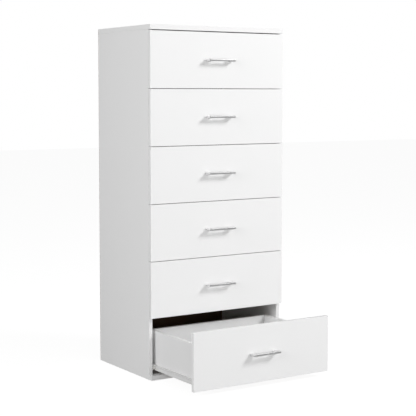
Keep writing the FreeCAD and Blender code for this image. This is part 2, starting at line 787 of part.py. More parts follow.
def drawer_handle(number):
    """The handle and its two machine screws, put in from inside the drawer."""
    name = f"drawer_{number}_handle"
    handle = place(handle_body(name + "_bridge"), "0", "0", "front_height / 2")
    screws = []
    for side, sign in SIDES:
        x = f"{sign} * handle_screw_spacing / 2"
        shank = rod(
            f"{name}_{side}_shank", "handle_screw_radius",
            "front_thickness + handle_screw_reach", x, "front_thickness", HANDLE_SCREW_Z,
            (0, -1, 0),
        )
        head = rod(
            f"{name}_{side}_head", "screw_head_radius", "screw_head_thickness",
            x, "front_thickness", HANDLE_SCREW_Z, (0, 1, 0),
        )
        screws.append(joined(f"{name}_{side}_screw", [shank, head]))
    return together(name, [handle] + screws)


def drawer_runner(name, sign):
    """One drawer member: foot under the side, web beside it, rail on top, axle at the rear."""
    foot_x = from_plane(sign, BOX_SIDE, "(drawer_runner_foot - steel)", inward=True)
    foot = block(
        name + "_foot", "drawer_runner_foot - steel", "runner_length", "steel",
        foot_x, DRAWER_RUNNER_FRONT, "box_lift - steel",
    )
    web = block(
        name + "_web", "steel", "runner_length", "drawer_runner_height",
        from_plane(sign, BOX_SIDE, "steel"), DRAWER_RUNNER_FRONT, "box_lift - steel",
    )
    rail = block(
        name + "_rail", "drawer_runner_rail", "runner_length", "steel",
        from_plane(sign, BOX_SIDE, "drawer_runner_rail"), DRAWER_RUNNER_FRONT,
        f"{RAIL_TOP} - steel",
    )
    axle_reach = f"({ROLLER_OUTSIDE} + axle_head_gap - {BOX_SIDE})"
    axle = rod(
        name + "_axle", "axle_radius", axle_reach,
        f"{sign} * {BOX_SIDE}", REAR_ROLLER_Y, REAR_ROLLER_Z, (sign, 0, 0),
    )
    head = rod(
        name + "_axle_head", "axle_head_radius", "axle_head_thickness",
        f"{sign} * ({BOX_SIDE} + {axle_reach})", REAR_ROLLER_Y, REAR_ROLLER_Z, (sign, 0, 0),
    )
    return joined(name, [foot, web, rail, axle, head])


def drawer_fittings(number):
    """Both drawer members, their screws, the corner screws, and the front's cams and bolts."""
    name = f"drawer_{number}_fittings"
    members = [drawer_runner(f"{name}_{side}_member", sign) for side, sign in SIDES]
    drilled = minus(
        name + "_members", together(name + "_pair", members),
        foot_screws(name + "_foot_hole", hole=True),
    )
    screws = foot_screws(name + "_foot_screw") + corner_screws(name + "_corner_screw")
    locks = drawer_cams(name + "_cam") + drawer_bolts(name + "_bolt")
    return together(name, [drilled] + screws + locks)


def rollers(name, y, z):
    """A pair of rollers on one line across the chest."""
    pair = []
    for side, sign in SIDES:
        body = roller_body(f"{name}_{side}")
        low = f"-{ROLLER_OUTSIDE}" if sign < 0 else f"{ROLLER_OUTSIDE} - roller_width"
        pair.append(place(body, low, y, z))
    return together(name, pair)


def drawer(number):
    """All the pieces of one drawer, and the rollers it runs on."""
    is_open = number == VALUES["drawer_count"]
    front_plane = f"{FRONT} - open_distance" if is_open else FRONT
    level = drawer_level(number)
    moving = {
        "front": drawer_front(number),
        "sides": drawer_sides(number),
        "back": drawer_back(number),
        "bottom": drawer_bottom(number),
        "handle": drawer_handle(number),
        "fittings": drawer_fittings(number),
        "rear_rollers": rollers(f"drawer_{number}_rear_rollers", REAR_ROLLER_Y, REAR_ROLLER_Z),
    }
    for word, piece in moving.items():
        subpart(f"drawer_{number}_{word}", piece, "0", front_plane, level)
    fixed = rollers(f"drawer_{number}_front_rollers", FRONT_ROLLER_Y, FRONT_ROLLER_Z)
    subpart(f"drawer_{number}_front_rollers", fixed, "0", FRONT, level)


for drawer_number in DRAWERS:
    drawer(drawer_number)

# ----------------------------------------------------------------------------- checks and export

document.removeObject(probe.Name)
document.recompute()
for feature in document.Objects:
    if "Invalid" in feature.State or "Error" in feature.State:
        raise RuntimeError(f"{feature.Name} failed: {feature.State}")

os.makedirs("parts", exist_ok=True)
for piece in subparts:
    if piece.Shape.isNull() or not piece.Shape.isValid():
        raise RuntimeError(f"{piece.Label} has no valid shape")
for piece in subparts:
    piece.Shape.exportStep(f"parts/{piece.Label}.step")
print(len(subparts), "sub-parts written")
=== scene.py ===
"""Looks of the tall chest of drawers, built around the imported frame. Metres, +Z up, fronts face -Y."""

import json
import math

import bmesh
import bpy
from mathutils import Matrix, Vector


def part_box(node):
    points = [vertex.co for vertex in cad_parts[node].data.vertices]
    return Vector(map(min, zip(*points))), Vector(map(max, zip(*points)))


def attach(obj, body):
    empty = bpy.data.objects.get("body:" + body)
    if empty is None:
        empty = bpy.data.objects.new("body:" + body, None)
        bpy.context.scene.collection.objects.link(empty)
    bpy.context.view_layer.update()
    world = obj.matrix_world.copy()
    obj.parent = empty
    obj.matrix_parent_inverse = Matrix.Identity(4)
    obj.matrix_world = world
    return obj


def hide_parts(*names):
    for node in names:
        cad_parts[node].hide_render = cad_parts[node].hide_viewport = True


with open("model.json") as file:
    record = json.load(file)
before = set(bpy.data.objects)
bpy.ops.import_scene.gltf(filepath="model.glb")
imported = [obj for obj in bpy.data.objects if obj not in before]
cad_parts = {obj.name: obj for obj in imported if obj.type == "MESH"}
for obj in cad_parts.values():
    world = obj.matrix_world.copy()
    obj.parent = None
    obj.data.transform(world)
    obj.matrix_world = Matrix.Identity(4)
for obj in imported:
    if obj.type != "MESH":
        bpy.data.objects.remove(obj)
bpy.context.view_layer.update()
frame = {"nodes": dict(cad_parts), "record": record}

scene = bpy.context.scene
MM = 0.001
SIDES = (("left", -1), ("right", 1))
DRAWERS = range(1, 7)
WHITE = (1, 1, 1, 1)

# ----------------------------------------------------------------------------- camera

CAMERA_TURN = math.radians(32.915)
CAMERA_PITCH = math.radians(4.376)
CAMERA_PLACE = Vector((-2.0144, -3.2195, 0.8857))
CAMERA_LENS = 99.68
CAMERA_SHIFT = -0.06
SENSOR_WIDTH = 36
VIEW_DISTANCE = 60


def add_camera():
    """The camera fitted to the photograph's view."""
    data = bpy.data.cameras.new("camera")
    data.lens = CAMERA_LENS
    data.sensor_width = SENSOR_WIDTH
    data.shift_y = CAMERA_SHIFT
    data.clip_end = VIEW_DISTANCE
    camera = bpy.data.objects.new("camera", data)
    camera.location = CAMERA_PLACE
    camera.rotation_euler = (math.pi / 2 - CAMERA_PITCH, 0, -CAMERA_TURN)
    scene.collection.objects.link(camera)
    scene.camera = camera


add_camera()

# ----------------------------------------------------------------------------- node helpers


def new_material(name):
    """A material with its node tree and its Principled shader."""
    material = bpy.data.materials.new(name)
    material.use_nodes = True
    tree = material.node_tree
    return material, tree, tree.nodes["Principled BSDF"]


def object_space(tree, stretch=(1, 1, 1)):
    """Object coordinates, multiplied by stretch, so that a pattern can run along one axis."""
    place = tree.nodes.new("ShaderNodeTexCoord")
    mapping = tree.nodes.new("ShaderNodeMapping")
    mapping.inputs["Scale"].default_value = stretch
    tree.links.new(place.outputs["Object"], mapping.inputs["Vector"])
    return mapping.outputs["Vector"]


def noise(tree, vector, scale, detail=2.0, roughness=0.5, distortion=0.0):
    """Noise with a value from 0 to 1; scale is in waves per metre."""
    node = tree.nodes.new("ShaderNodeTexNoise")
    node.inputs["Scale"].default_value = scale
    node.inputs["Detail"].default_value = detail
    node.inputs["Roughness"].default_value = roughness
    node.inputs["Distortion"].default_value = distortion
    tree.links.new(vector, node.inputs["Vector"])
    return node.outputs["Fac"]


def cells(tree, vector, scale):
    """A cell pattern's node; scale is in cells per metre."""
    node = tree.nodes.new("ShaderNodeTexVoronoi")
    node.inputs["Scale"].default_value = scale
    tree.links.new(vector, node.inputs["Vector"])
    return node


def spread(tree, value, low, high, start=0.0, end=1.0):
    """value from start..end mapped to low..high."""
    node = tree.nodes.new("ShaderNodeMapRange")
    node.inputs["From Min"].default_value = start
    node.inputs["From Max"].default_value = end
    node.inputs["To Min"].default_value = low
    node.inputs["To Max"].default_value = high
    tree.links.new(value, node.inputs["Value"])
    return node.outputs["Result"]


def between(tree, value, first, second):
    """A colour between two, by value."""
    node = tree.nodes.new("ShaderNodeMix")
    node.data_type = "RGBA"
    node.inputs["A"].default_value = (*first, 1)
    node.inputs["B"].default_value = (*second, 1)
    tree.links.new(value, node.inputs["Factor"])
    return node.outputs["Result"]


def combine(tree, operation, first, second):
    """One of Blender's maths operations on two values or numbers."""
    node = tree.nodes.new("ShaderNodeMath")
    node.operation = operation
    for socket, value in zip(node.inputs, (first, second)):
        if isinstance(value, (int, float)):
            socket.default_value = value
        else:
            tree.links.new(value, socket)
    return node.outputs["Value"]


def blend(tree, first, second, share):
    """Weighted sum of two values; share is the weight of the first."""
    return combine(tree, "ADD", combine(tree, "MULTIPLY", first, share), combine(
        tree, "MULTIPLY", second, 1 - share))


def bump(tree, shader, heights):
    """Chain of bumps on the shader: heights is a list of (value, height in metres)."""
    last = None
    for value, height in heights:
        node = tree.nodes.new("ShaderNodeBump")
        node.inputs["Strength"].default_value = 1.0
        node.inputs["Distance"].default_value = height
        tree.links.new(value, node.inputs["Height"])
        if last:
            tree.links.new(last, node.inputs["Normal"])
        last = node.outputs["Normal"]
    tree.links.new(last, shader.inputs["Normal"])


def grey(tone, tint=(1.0, 1.0, 1.0)):
    """A grey of a given tone, or a slightly tinted one."""
    return tuple(tone * part for part in tint)


# ----------------------------------------------------------------------------- materials


def melamine(name, tone, roughness, grain):
    """White melamine: faint cloudiness, a fine pearl in the surface and uneven gloss."""
    material, tree, shader = new_material(name)
    space = object_space(tree)
    clouds = noise(tree, space, scale=9, detail=4)
    pearl = noise(tree, space, scale=900, detail=3, roughness=0.6)
    mottle = blend(tree, clouds, pearl, share=0.6)
    color = between(tree, mottle, first=grey(tone * 0.985), second=grey(tone * 1.012))
    tree.links.new(color, shader.inputs["Base Color"])
    gloss = noise(tree, space, scale=60, detail=3)
    gloss = spread(tree, gloss, low=roughness - 0.05, high=roughness + 0.06, start=0.3, end=0.7)
    tree.links.new(gloss, shader.inputs["Roughness"])
    shader.inputs["Specular IOR Level"].default_value = 0.45
    bump(tree, shader, [(pearl, grain), (clouds, 0.05 * MM)])
    return material


def chipboard(name):
    """The raw cut of particle board: flakes of several browns with an uneven surface."""
    material, tree, shader = new_material(name)
    space = object_space(tree)
    flakes = cells(tree, space, scale=700)
    shade = noise(tree, flakes.outputs["Position"], scale=130, detail=1)
    shade = spread(tree, shade, low=0, high=1, start=0.3, end=0.7)
    color = between(tree, shade, first=(0.25, 0.16, 0.08), second=(0.6, 0.45, 0.27))
    tree.links.new(color, shader.inputs["Base Color"])
    shader.inputs["Roughness"].default_value = 0.9
    bump(tree, shader, [(flakes.outputs["Distance"], 0.2 * MM)])
    return material


def hardboard(name, dark, light, screen):
    """Brown fibre board; screen is the depth of the wire mesh pressed into its rough face."""
    material, tree, shader = new_material(name)
    space = object_space(tree)
    blotches = noise(tree, space, scale=14, detail=5, roughness=0.6)
    along = object_space(tree, stretch=(1, 1, 0.35))
    fibres = noise(tree, along, scale=1500, detail=3, roughness=0.7)
    mixed = blend(tree, blotches, fibres, share=0.5)
    mixed = spread(tree, mixed, low=0, high=1, start=0.35, end=0.65)
    tree.links.new(between(tree, mixed, first=dark, second=light), shader.inputs["Base Color"])
    tree.links.new(spread(tree, fibres, low=0.55, high=0.8), shader.inputs["Roughness"])
    heights = [(fibres, 0.05 * MM)]
    if screen:
        waves = []
        for direction in ("X", "Z"):
            wave = tree.nodes.new("ShaderNodeTexWave")
            wave.bands_direction = direction
            wave.inputs["Scale"].default_value = 200
            wave.inputs["Distortion"].default_value = 0.6
            wave.inputs["Detail Scale"].default_value = 40
            tree.links.new(space, wave.inputs["Vector"])
            waves.append(wave.outputs["Fac"])
        heights.append((combine(tree, "MULTIPLY", *waves), screen))
    bump(tree, shader, heights)
    return material


def coated_steel(name, tone):
    """Epoxy powder coat on the runners: orange peel and a soft gloss."""
    material, tree, shader = new_material(name)
    space = object_space(tree)
    peel = noise(tree, space, scale=700, detail=1)
    clouds = noise(tree, space, scale=25, detail=3)
    creamy = grey(tone * 0.97, tint=(1, 1, 0.985))
    color = between(tree, clouds, first=creamy, second=grey(tone * 1.02))
    tree.links.new(color, shader.inputs["Base Color"])
    tree.links.new(spread(tree, peel, low=0.28, high=0.42), shader.inputs["Roughness"])
    shader.inputs["Coat Weight"].default_value = 0.25
    shader.inputs["Coat Roughness"].default_value = 0.25
    bump(tree, shader, [(peel, 0.06 * MM)])
    return material


def nylon(name):
    """Moulded nylon: slightly translucent, with faint flow marks."""
    material, tree, shader = new_material(name)
    space = object_space(tree)
    flow = noise(tree, space, scale=220, detail=3, distortion=0.8)
    color = between(tree, flow, first=(0.80, 0.80, 0.76), second=(0.90, 0.90, 0.87))
    tree.links.new(color, shader.inputs["Base Color"])
    tree.links.new(spread(tree, flow, low=0.32, high=0.5), shader.inputs["Roughness"])
    shader.inputs["Subsurface Weight"].default_value = 0.15
    shader.inputs["Subsurface Radius"].default_value = (0.002, 0.002, 0.0018)
    shader.inputs["Subsurface Scale"].default_value = 1.0
    bump(tree, shader, [(flow, 0.03 * MM)])
    return material


def satin_metal(name, tone, roughness):
    """Satin metal, brushed along X: fine streaks in gloss, colour and height."""
    material, tree, shader = new_material(name)
    brushed = object_space(tree, stretch=(0.02, 1, 1))
    streaks = noise(tree, brushed, scale=4200, detail=3, roughness=0.65)
    clouds = noise(tree, object_space(tree), scale=90, detail=3)
    cool = grey(tone * 0.92, tint=(1, 1, 1.005))
    color = between(tree, streaks, first=cool, second=grey(tone * 1.06))
    tree.links.new(color, shader.inputs["Base Color"])
    shader.inputs["Metallic"].default_value = 1.0
    gloss = blend(tree, streaks, clouds, share=0.7)
    gloss = spread(tree, gloss, low=roughness - 0.07, high=roughness + 0.07, start=0.25, end=0.75)
    tree.links.new(gloss, shader.inputs["Roughness"])
    shader.inputs["Anisotropic"].default_value = 0.35
    bump(tree, shader, [(streaks, 0.012 * MM)])
    return material


def zinc(name):
    """Zinc-plated steel: bluish and yellowish patches and a fine unevenness."""
    material, tree, shader = new_material(name)
    space = object_space(tree)
    patches = noise(tree, space, scale=300, detail=4, roughness=0.6)
    color = between(tree, patches, first=(0.52, 0.55, 0.58), second=(0.72, 0.70, 0.62))
    tree.links.new(color, shader.inputs["Base Color"])
    shader.inputs["Metallic"].default_value = 1.0
    tree.links.new(spread(tree, patches, low=0.25, high=0.5), shader.inputs["Roughness"])
    bump(tree, shader, [(noise(tree, space, scale=2500), 0.01 * MM)])
    return material


def beech(name):
    """Beech dowels: streaky grain along Z."""
    material, tree, shader = new_material(name)
    along = object_space(tree, stretch=(1, 1, 0.08))
    grain = noise(tree, along, scale=1400, detail=4, roughness=0.6)
    color = between(tree, grain, first=(0.42, 0.27, 0.14), second=(0.70, 0.52, 0.33))
    tree.links.new(color, shader.inputs["Base Color"])
    tree.links.new(spread(tree, grain, low=0.5, high=0.75), shader.inputs["Roughness"])
    bump(tree, shader, [(grain, 0.05 * MM)])
    return material


FRONT_FACE = melamine("front_melamine", 0.86, 0.42, 0.010 * MM)
FRONT_EDGE = melamine("front_edging", 0.86, 0.34, 0.004 * MM)
CABINET_FACE = melamine("cabinet_melamine", 0.86, 0.44, 0.012 * MM)
CABINET_EDGE = melamine("cabinet_edging", 0.86, 0.36, 0.004 * MM)
DRAWER_FACE = melamine("drawer_foil", 0.84, 0.38, 0.008 * MM)
# Drawer edging a tone lighter than the foil: partly the edging's own white, partly painted light for the
# lit top edges of the drawer sides.
DRAWER_EDGE_AND_PAINTED_LIGHT = melamine("drawer_edging_and_painted_light", 0.90, 0.34, 0.004 * MM)
WHITE_LACQUER = melamine("white_lacquer", 0.82, 0.33, 0.006 * MM)
RAW_CUT = chipboard("raw_particle_board")
# Brown hardboard darkened to near black: partly the board's own brown, partly painted shade of the
# cabinet's interior.
BROWN_SMOOTH_AND_PAINTED_SHADE = hardboard("hardboard_smooth_and_painted_shade", (0.05, 0.028, 0.014), (0.10, 0.058, 0.03), 0)
BROWN_ROUGH = hardboard("hardboard_rough", (0.15, 0.088, 0.045), (0.29, 0.18, 0.10), 0.12 * MM)
STEEL = coated_steel("epoxy_steel", 0.82)
NYLON = nylon("nylon")
HANDLE_METAL = satin_metal("satin_handle", 0.76, 0.38)
ZINC = zinc("zinc_plate")
BEECH = beech("beech")
# Near-black metal for the cross recesses of screws and cams: painted shade, since the real recesses are
# the same metal as the heads.
RECESS_PAINTED_SHADE = satin_metal("recess_painted_shade", 0.12, 0.5)
CAD_MATERIALS = {
    "front_board": FRONT_FACE, "cabinet_board": CABINET_FACE, "drawer_board": DRAWER_FACE,
    "hardboard": BROWN_SMOOTH_AND_PAINTED_SHADE, "runner_steel": STEEL, "nylon": NYLON,
    "handle_metal": HANDLE_METAL, "zinc_fastener": ZINC, "beech": BEECH,
}
for subpart in frame["record"]["subparts"]:
    for material_slot in frame["nodes"][subpart["node"]].material_slots:
        material_slot.material = CAD_MATERIALS[subpart["material_slot"]]

# ----------------------------------------------------------------------------- board pieces

EDGE_RADIUS = 0.7 * MM
EDGE_STEPS = 3
ROUND_PROFILE = 0.5
FACING = 0.99


def body_of_node(node):
    """The CAD body that a node belongs to."""
    for body, members in frame["record"]["behaviour"]["bodies"].items():
        if node in members:
            return body
    raise KeyError(node)


def piece_of(name, mesh, nodes):
    """Link a new piece and let it stand for CAD nodes: same body, and the nodes hidden."""
    piece = bpy.data.objects.new(name, mesh)
    scene.collection.objects.link(piece)
    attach(piece, body_of_node(nodes[0]))
    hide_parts(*nodes)
    return piece


def add_rounded_box(bm, low, high, radius, pick):
    """A box with rounded edges; pick(normal) gives each face's material number."""
    made = bmesh.ops.create_cube(bm, size=1)
    middle = (low + high) / 2
    size = high - low
    for vertex in made["verts"]:
        vertex.co = Vector(a * b for a, b in zip(vertex.co, size)) + middle
    edges = {edge for vertex in made["verts"] for edge in vertex.link_edges}
    for face in {face for vertex in made["verts"] for face in vertex.link_faces}:
        face.material_index = pick(face.normal)
    bmesh.ops.bevel(bm, geom=list(edges), offset=radius, segments=EDGE_STEPS,
                    profile=ROUND_PROFILE, affect="EDGES", clamp_overlap=False)


def distance_outside(point, box):
    """How far a point lies outside a box, along the worst axis; negative inside."""
    low, high = box
    return max(max(low[i] - point[i], point[i] - high[i]) for i in range(3))


def board_normal(point, box):
    """The exact normal at a point of a box's rounded surface."""
    low, high = box
    core = Vector(
        min(max(point[i], low[i] + EDGE_RADIUS), high[i] - EDGE_RADIUS) for i in range(3)
    )
    return (point - core).normalized()


def board(name, nodes, boxes, faces, pick):
    """Boards with rounded edges and exact normals. faces lists the materials that pick chooses from."""
    bm = bmesh.new()
    for low, high in boxes:
        add_rounded_box(bm, low, high, EDGE_RADIUS, pick)
    mesh = bpy.data.meshes.new(name)
    bm.normal_update()
    bm.to_mesh(mesh)
    bm.free()
    for material in faces:
        mesh.materials.append(material)
    normals = []
    for vertex in mesh.vertices:
        distances = [distance_outside(vertex.co, box) for box in boxes]
        normals.append(board_normal(vertex.co, boxes[distances.index(min(distances))]))
    for polygon in mesh.polygons:
        polygon.use_smooth = True
    mesh.normals_split_custom_set_from_vertices(normals)
    return piece_of(name, mesh, nodes)


def across(axis):
    """Choose material 0 for the two faces square to an axis, and 1 for the board's edges."""
    return lambda normal: 0 if abs(normal[axis]) > FACING else 1


def across_with_raw_rear(axis):
    """The same, with material 2, the raw cut, for the edge that faces the back panel."""
    return lambda normal: 2 if normal.y > FACING else across(axis)(normal)


def split_box(node, sign):
    """The box of one side's solid in a node that holds a left and a right one."""
    points = [v.co for v in frame["nodes"][node].data.vertices if v.co.x * sign > 0]
    low = Vector(min(point[i] for point in points) for i in range(3))
    high = Vector(max(point[i] for point in points) for i in range(3))
    return low, high


def make_cabinet_boards():
    """Top, bottom, sides and back of the cabinet."""
    cabinet = [CABINET_FACE, CABINET_EDGE, RAW_CUT]
    for word in ("top", "bottom"):
        node = f"{word}_panel"
        board(f"{word}_board", [node], [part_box(node)], cabinet, across_with_raw_rear(2))
    for word, _ in SIDES:
        node = f"{word}_side_panel"
        board(f"{word}_side_board", [node], [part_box(node)], cabinet, across_with_raw_rear(0))
    # The face towards the inside of the cabinet takes the near-black hardboard, painted shade of the
    # interior.
    board("hardboard_back", ["back_panel"], [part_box("back_panel")], [BROWN_SMOOTH_AND_PAINTED_SHADE, BROWN_ROUGH],
          lambda normal: 0 if normal.y < -FACING else 1)


def make_drawer_boards(number):
    """Front, sides, back and bottom of one drawer."""
    name = f"drawer_{number}"
    board(f"{name}_front_board", [f"{name}_front"], [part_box(f"{name}_front")],
          [FRONT_FACE, FRONT_EDGE], across(1))
    sides = [split_box(f"{name}_sides", sign) for _, sign in SIDES]
    # The edges of the drawer boards take the lighter edging, which carries painted light.
    board(f"{name}_side_boards", [f"{name}_sides"], sides, [DRAWER_FACE, DRAWER_EDGE_AND_PAINTED_LIGHT], across(0))
    board(f"{name}_back_board", [f"{name}_back"], [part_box(f"{name}_back")],
          [DRAWER_FACE, DRAWER_EDGE_AND_PAINTED_LIGHT], across(1))
    board(f"{name}_bottom_board", [f"{name}_bottom"], [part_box(f"{name}_bottom")],
          [WHITE_LACQUER, BROWN_ROUGH], lambda normal: 0 if normal.z > FACING else 1)


make_cabinet_boards()
for drawer_number in DRAWERS:
    make_drawer_boards(drawer_number)

# ----------------------------------------------------------------------------- mesh helpers

TURN_STEPS = 48
CORNER_STEPS = 5
SMOOTH_LIMIT = math.radians(35)


def point_at(axis, along, across_one, across_two):
    """A point given along an axis and across it, in the cyclic order of the axes."""
    point = Vector((0, 0, 0))
    point[axis] = along
    point[(axis + 1) % 3] = across_one
    point[(axis + 2) % 3] = across_two
    return point


def turned(bm, centre, axis, sign, rings, materials):
    """Stack of rings round an axis. A ring is (distance along the axis, radius or radius(angle))."""
    loops = []
    for along, radius in rings:
        loop = []
        for step in range(TURN_STEPS):
            angle = 2 * math.pi * step / TURN_STEPS
            reach = radius(angle) if callable(radius) else radius
            offset = point_at(axis, sign * along, reach * math.cos(angle), reach * math.sin(angle))
            loop.append(bm.verts.new(centre + offset))
        loops.append(loop)
    for first, second, number in zip(loops, loops[1:], materials):
        for step in range(TURN_STEPS):
            following = (step + 1) % TURN_STEPS
            corners = [first[step], first[following], second[following], second[step]]
            face = bm.faces.new(corners if sign > 0 else corners[::-1])
            face.material_index = number
    last = bm.faces.new(loops[-1] if sign > 0 else loops[-1][::-1])
    last.material_index = materials[-1]


def extruded(bm, outline, axis, start, end, material=0):
    """A closed outline, in the plane square to an axis, run from start to end along it."""
    loops = [
        [bm.verts.new(point_at(axis, along, one, two)) for one, two in outline]
        for along in (start, end)
    ]
    faces = [bm.faces.new(loops[0][::-1]), bm.faces.new(loops[1])]
    for index in range(len(outline)):
        following = (index + 1) % len(outline)
        faces.append(bm.faces.new((
            loops[0][index], loops[0][following], loops[1][following], loops[1][index],
        )))
    for face in faces:
        face.material_index = material


def rounded_corner(before, corner, after, radius):
    """Points of an arc that rounds one corner of a path."""
    corner = Vector(corner)
    one = (Vector(before) - corner).normalized()
    two = (Vector(after) - corner).normalized()
    half = one.angle(two) / 2
    centre = corner + (one + two).normalized() * (radius / math.sin(half))
    start = (corner + one * (radius / math.tan(half)) - centre).normalized()
    end = (corner + two * (radius / math.tan(half)) - centre).normalized()
    shares = [step / CORNER_STEPS for step in range(CORNER_STEPS + 1)]
    return [centre + radius * start.slerp(end, share) for share in shares]


def bent_strip(path, thickness, inner_radius):
    """Outline of sheet metal bent along a path: the path is its middle line."""
    middle = inner_radius + thickness / 2
    centre_line = [Vector(path[0])]
    for before, corner, after in zip(path, path[1:], path[2:]):
        centre_line += rounded_corner(before, corner, after, middle)
    centre_line.append(Vector(path[-1]))
    left, right = [], []
    for index, point in enumerate(centre_line):
        ahead = centre_line[min(index + 1, len(centre_line) - 1)]
        behind = centre_line[max(index - 1, 0)]
        direction = (ahead - behind).normalized()
        normal = Vector((-direction.y, direction.x)) * thickness / 2
        left.append(point + normal)
        right.append(point - normal)
    return left + right[::-1]


def rounded_plate(corners, radius):
    """Outline of a plate with all its corners rounded."""
    points = []
    for index, corner in enumerate(corners):
        following = corners[(index + 1) % len(corners)]
        points += rounded_corner(corners[index - 1], corner, following, radius)
    return points


def mesh_of(name, bm, materials):
    """Finish a mesh: outward faces, smooth shading except at its sharp edges."""
    bmesh.ops.recalc_face_normals(bm, faces=bm.faces)
    for face in bm.faces:
        face.smooth = True
    for edge in bm.edges:
        edge.smooth = len(edge.link_faces) == 2 and edge.calc_face_angle(0) < SMOOTH_LIMIT
    mesh = bpy.data.meshes.new(name)
    bm.to_mesh(mesh)
    bm.free()
    for material in materials:
        mesh.materials.append(material)
    return mesh


# ----------------------------------------------------------------------------- screws and cams

# Outlines from the surface outward, as pairs: share of the height, share of the radius.
HEAD_OUTLINE = ((0, 1), (0.35, 0.985), (0.72, 0.9), (1, 0.72))
CAM_OUTLINE = ((0, 1), (0.8, 1), (1, 0.95), (1, 0.82), (0.55, 0.77))
RIVET_OUTLINE = ((0, 1), (0.4, 1), (0.85, 0.8), (1, 0.45), (1, 0.3), (0.5, 0.18))
# Cross recesses: share of the height and of the radius at the upper and at the lower rim.
HEAD_CROSS = ((1, 0.62), (0.15, 0.62 * 0.55))
CAM_CROSS = ((0.55, 0.6), (0.1, 0.5))
CROSS_ASPECT = math.tan(math.radians(15))
NEAR_ZERO = 1e-6


def cross_outline(reach):
    """Radius of a cross, by angle; the ends of its arms fall on the turning steps."""
    width = reach * CROSS_ASPECT

    def radius(angle):
        cos = max(abs(math.cos(angle)), NEAR_ZERO)
        sin = max(abs(math.sin(angle)), NEAR_ZERO)
        return max(min(reach / cos, width / sin), min(width / cos, reach / sin))

    return radius


def add_crossed(bm, centre, axis, sign, radius, height, outline, cross, metal, dark):
    """A round outline with a cross recess, standing on a surface."""
    rings = [(share * height, part * radius) for share, part in outline]
    rings += [(share * height, cross_outline(part * radius)) for share, part in cross]
    # The two recess rings take the material numbered dark, the painted shade inside the cross.
    turned(bm, centre, axis, sign, rings, [metal] * len(outline) + [dark, dark])


def add_screw_head(bm, centre, axis, sign, radius, height, metal, dark):
    """A domed screw head with a cross recess."""
    add_crossed(bm, centre, axis, sign, radius, height, HEAD_OUTLINE, HEAD_CROSS, metal, dark)


def add_cam(bm, centre, axis, sign, metal, dark):
    """The face of a cam lock: a rim, a shallow dish and a cross slot."""
    add_crossed(bm, centre, axis, sign, CAM_RADIUS, CAM_HEIGHT, CAM_OUTLINE, CAM_CROSS, metal, dark)


def add_rivet(bm, centre, axis, sign, length, metal):
    """A roller's axle with its riveted head."""
    rings = [(0, AXLE_RADIUS), (length, AXLE_RADIUS)]
    rings += [
        (length + share * RIVET_HEIGHT, part * RIVET_RADIUS) for share, part in RIVET_OUTLINE
    ]
    turned(bm, centre, axis, sign, rings, [metal] * len(rings))


# ----------------------------------------------------------------------------- runners and fittings

# Boards of the cabinet and of a drawer. Levels are above the lower edge of a drawer front.
SIDE_FACE = 238 * MM
SLIDE_SPACE = 12.5 * MM
BOX_THICKNESS = 12 * MM
BOX_LENGTH = 292 * MM
BOX_LIFT = 11 * MM
FRONT_THICKNESS = 12 * MM
BOX_SIDE = SIDE_FACE - SLIDE_SPACE
BOX_INSIDE = BOX_SIDE - BOX_THICKNESS

STEEL_THICKNESS = 1.2 * MM
BEND_RADIUS = 0.6 * MM
RUNNER_LENGTH = 300 * MM
RUNNER_SET_BACK = 1 * MM
FOOT_WIDTH = 11.2 * MM
RAIL_WIDTH = 10.5 * MM
DRAWER_MEMBER_HEIGHT = 19.2 * MM
RAIL_TOP = BOX_LIFT - STEEL_THICKNESS + DRAWER_MEMBER_HEIGHT
CHANNEL_HEIGHT = 22.1 * MM
TRACK_WIDTH = 10 * MM
LIP_WIDTH = 9 * MM
LIP_OPENING = 26 * MM
TONGUE_RADIUS = 4 * MM
TONGUE_OVERLAP = 5 * MM

ROLLER_RADIUS = 8 * MM
ROLLER_WIDTH = 7.5 * MM
ROLLER_INSET = 1.6 * MM
ROLLER_PLAY = 0.1 * MM
AXLE_HEAD_GAP = 0.1 * MM
FRONT_ROLLER_INSET = 8.5 * MM
REAR_ROLLER_INSET = 9 * MM
REAR_ROLLER_DROP = 0.5 * MM
FRONT_ROLLER_LEVEL = RAIL_TOP - STEEL_THICKNESS - ROLLER_PLAY - ROLLER_RADIUS
REAR_ROLLER_LEVEL = FRONT_ROLLER_LEVEL - REAR_ROLLER_DROP
TRACK_LEVEL = REAR_ROLLER_LEVEL - ROLLER_RADIUS - ROLLER_PLAY
AXLE_RADIUS = 2.5 * MM
RIVET_RADIUS = 4 * MM
RIVET_HEIGHT = 0.5 * MM

SMALL_HEAD_RADIUS = 3.2 * MM
CORNER_HEAD_RADIUS = 4 * MM
HEAD_HEIGHT = 0.45 * MM
CAM_RADIUS = 6 * MM
CAM_HEIGHT = 0.35 * MM
CAM_DISTANCE = 24 * MM
FOOT_SCREWS = (60 * MM, 250 * MM)
CORNER_SCREWS = (30 * MM, 100 * MM)
FRONT_CAMS = (35 * MM, 95 * MM)
CHANNEL_SCREWS = (45 * MM, 270 * MM)
CHANNEL_SCREW_LIFT = 10 * MM
CABINET_CAM_ROW = 75 * MM


def add_drawer_member(bm, sign, front, level):
    """Foot under the drawer side, web beside it, rail on top, and the rear roller's axle."""
    half = STEEL_THICKNESS / 2
    foot = level + BOX_LIFT - half
    rail = level + RAIL_TOP - half
    web = BOX_SIDE + half
    inner = BOX_SIDE + STEEL_THICKNESS - FOOT_WIDTH
    path = [(inner, foot), (web, foot), (web, rail), (BOX_SIDE + RAIL_WIDTH, rail)]
    section = bent_strip(path, STEEL_THICKNESS, BEND_RADIUS)
    start = front + FRONT_THICKNESS + RUNNER_SET_BACK
    end = start + RUNNER_LENGTH
    extruded(bm, [(z, sign * x) for x, z in section], 1, start, end)
    centre = Vector((sign * BOX_SIDE, end - REAR_ROLLER_INSET, level + REAR_ROLLER_LEVEL))
    reach = SLIDE_SPACE - STEEL_THICKNESS - ROLLER_INSET + AXLE_HEAD_GAP
    add_rivet(bm, centre, 0, sign, reach, 1)


